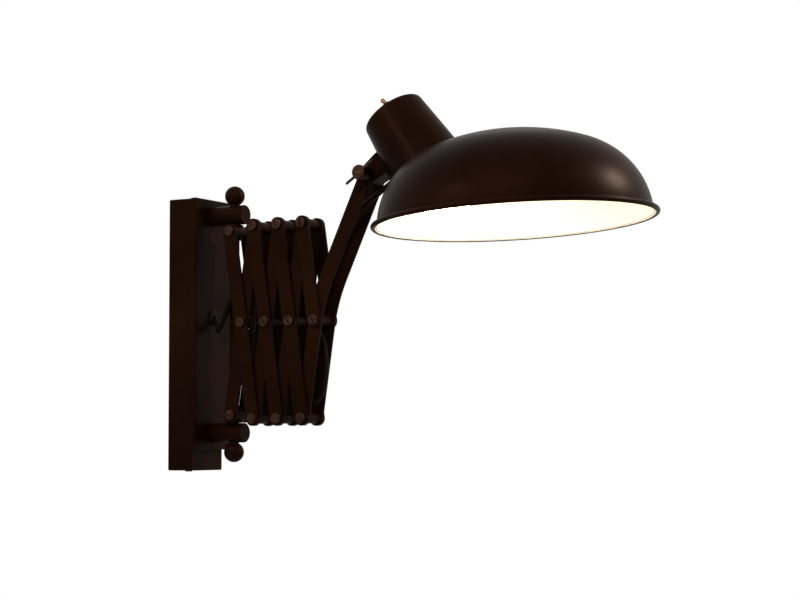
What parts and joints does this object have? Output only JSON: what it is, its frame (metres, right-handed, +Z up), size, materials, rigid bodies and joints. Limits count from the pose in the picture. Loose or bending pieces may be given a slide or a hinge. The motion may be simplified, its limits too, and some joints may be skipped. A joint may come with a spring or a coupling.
{
  "type": "accordion wall lamp",
  "caption": "Wall lamp on a folding scissor arm that slides on a guide rod, with a tilting bowl shade, neck cup and toggle switch",
  "frame": {"origin": "on the wall, in the back plane of the wall box, level with the middle of the guide rod", "axes": "X out of the wall, Y along the wall, Z up"},
  "size_m": [0.5281, 0.28, 0.3767],
  "materials": {
    "bronze_paint": "dark bronze semi-gloss paint",
    "bronze_bolt": "bronzed steel, a little worn",
    "white_enamel": "white inside, dark bronze outside",
    "zinc": "bright zinc",
    "brass": "aged brass",
    "cap_metal": "rolled bright metal",
    "porcelain": "glazed white",
    "bulb": "clear glass",
    "cord": "black flexible cord",
    "bush": "black moulded bush",
    "switch_case": "black moulded case"
  },
  "bodies": {
    "root": {"wall_box": "bronze_paint", "wall_bracket": "zinc", "box_screws": "bronze_bolt", "front_plate": "bronze_paint", "cord_grommet": "bush", "terminal_block": "porcelain", "upper_post": "bronze_paint", "lower_post": "bronze_paint", "post_bolts": "zinc", "guide_rod": "bronze_paint", "upper_finial": "bronze_paint", "lower_finial": "bronze_paint", "cord_feed": "cord"},
    "carriage": {"lower_collar": "bronze_paint", "lower_collar_screws": "bronze_bolt"},
    "inner_1": {"inner_bar_1_front": "bronze_paint", "inner_bar_1_rear": "bronze_paint", "pivot_bolts_1": "bronze_bolt", "barrels_1": "bronze_paint", "cord_entry": "cord"},
    "outer_1": {"outer_bar_1_front": "bronze_paint", "outer_bar_1_rear": "bronze_paint"},
    "upper_carriage": {"upper_collar": "bronze_paint", "upper_collar_screws": "bronze_bolt"},
    "inner_2": {"inner_bar_2_front": "bronze_paint", "inner_bar_2_rear": "bronze_paint", "pivot_bolts_2": "bronze_bolt", "barrels_2": "bronze_paint", "cord_loop_1": "cord"},
    "outer_2": {"outer_bar_2_front": "bronze_paint", "outer_bar_2_rear": "bronze_paint"},
    "outer_3": {"outer_bar_3_front": "bronze_paint", "outer_bar_3_rear": "bronze_paint", "cord_loop_2": "cord"},
    "inner_3": {"inner_bar_3_front": "bronze_paint", "inner_bar_3_rear": "bronze_paint", "pivot_bolts_3": "bronze_bolt", "barrels_3": "bronze_paint"},
    "arm": {"arm_front": "bronze_paint", "arm_rear": "bronze_paint", "arm_bolts": "bronze_bolt", "arm_barrels": "bronze_paint", "clamp_nut": "bronze_bolt", "cord_loop_3": "cord"},
    "end_bars": {"end_bar_front": "bronze_paint", "end_bar_rear": "bronze_paint"},
    "clamp": {"clamp_screw": "bronze_bolt", "tommy_bar": "bronze_bolt"},
    "head": {"head_lug": "bronze_paint", "lug_screws": "zinc", "neck_cup": "bronze_paint", "neck_bush": "bush", "shade": "white_enamel", "switch_body": "switch_case", "holder_bracket": "zinc", "lamp_holder": "porcelain", "bulb_cap": "cap_metal", "bulb_glass": "bulb", "cord_head": "cord"},
    "toggle": {"switch_lever": "brass"}
  },
  "joints": [
    {"name": "swing", "type": "hinge", "parent": "root", "child": "carriage", "pos_m": [0.064, 0, 0], "axis": [0, 0, 1], "range_deg": [-70, 70], "deforming": ["cord_feed"]},
    {"name": "fold", "type": "hinge", "parent": "carriage", "child": "inner_1", "pos_m": [0.0685, 0, -0.0952], "axis": [0, 1, 0], "range_deg": [0, 39], "deforming": ["cord_entry", "cord_loop_1", "cord_loop_2", "cord_loop_3"]},
    {"name": "crossing_1", "type": "hinge", "parent": "inner_1", "child": "outer_1", "pos_m": [0.08264, 0, 0], "axis": [0, 1, 0], "range_deg": [-78, 0]},
    {"name": "upper_collar_pivot", "type": "hinge", "parent": "outer_1", "child": "upper_carriage", "pos_m": [0.0685, 0, 0.0952], "axis": [0, 1, 0], "range_deg": [0, 39]},
    {"name": "bottom_pivot_1", "type": "hinge", "parent": "outer_1", "child": "inner_2", "pos_m": [0.09734, 0, -0.099], "axis": [0, 1, 0], "range_deg": [0, 78]},
    {"name": "crossing_2", "type": "hinge", "parent": "inner_2", "child": "outer_2", "pos_m": [0.11204, 0, 0], "axis": [0, 1, 0], "range_deg": [-78, 0]},
    {"name": "top_pivot_2", "type": "hinge", "parent": "inner_2", "child": "outer_3", "pos_m": [0.12674, 0, 0.099], "axis": [0, 1, 0], "range_deg": [-78, 0]},
    {"name": "crossing_3", "type": "hinge", "parent": "outer_3", "child": "inner_3", "pos_m": [0.14144, 0, 0], "axis": [0, 1, 0], "range_deg": [0, 78]},
    {"name": "bottom_pivot_3", "type": "hinge", "parent": "outer_3", "child": "arm", "pos_m": [0.15614, 0, -0.099], "axis": [0, 1, 0], "range_deg": [0, 78]},
    {"name": "crossing_4", "type": "hinge", "parent": "arm", "child": "end_bars", "pos_m": [0.17084, 0, 0], "axis": [0, 1, 0], "range_deg": [-78, 0]},
    {"name": "head_tilt", "type": "hinge", "parent": "arm", "child": "head", "pos_m": [0.2305, 0, 0.1445], "axis": [0, 1, 0], "range_deg": [-60, 25], "deforming": ["cord_head"]},
    {"name": "clamp_turn", "type": "hinge", "parent": "arm", "child": "clamp", "pos_m": [0.2305, 0, 0.1445], "axis": [0, 1, 0], "range_deg": [-120, 30]},
    {"name": "toggle_flip", "type": "hinge", "parent": "head", "child": "toggle", "pos_m": [0.24669, 0, 0.21517], "axis": [0, 1, 0], "range_deg": [0, 26]}
  ],
  "couplings": [
    {"joint": "crossing_1", "follows": "fold", "ratio": -2},
    {"joint": "upper_collar_pivot", "follows": "fold", "ratio": 1},
    {"joint": "bottom_pivot_1", "follows": "fold", "ratio": 2},
    {"joint": "crossing_2", "follows": "fold", "ratio": -2},
    {"joint": "top_pivot_2", "follows": "fold", "ratio": -2},
    {"joint": "crossing_3", "follows": "fold", "ratio": 2},
    {"joint": "bottom_pivot_3", "follows": "fold", "ratio": 2},
    {"joint": "crossing_4", "follows": "fold", "ratio": -2}
  ]
}
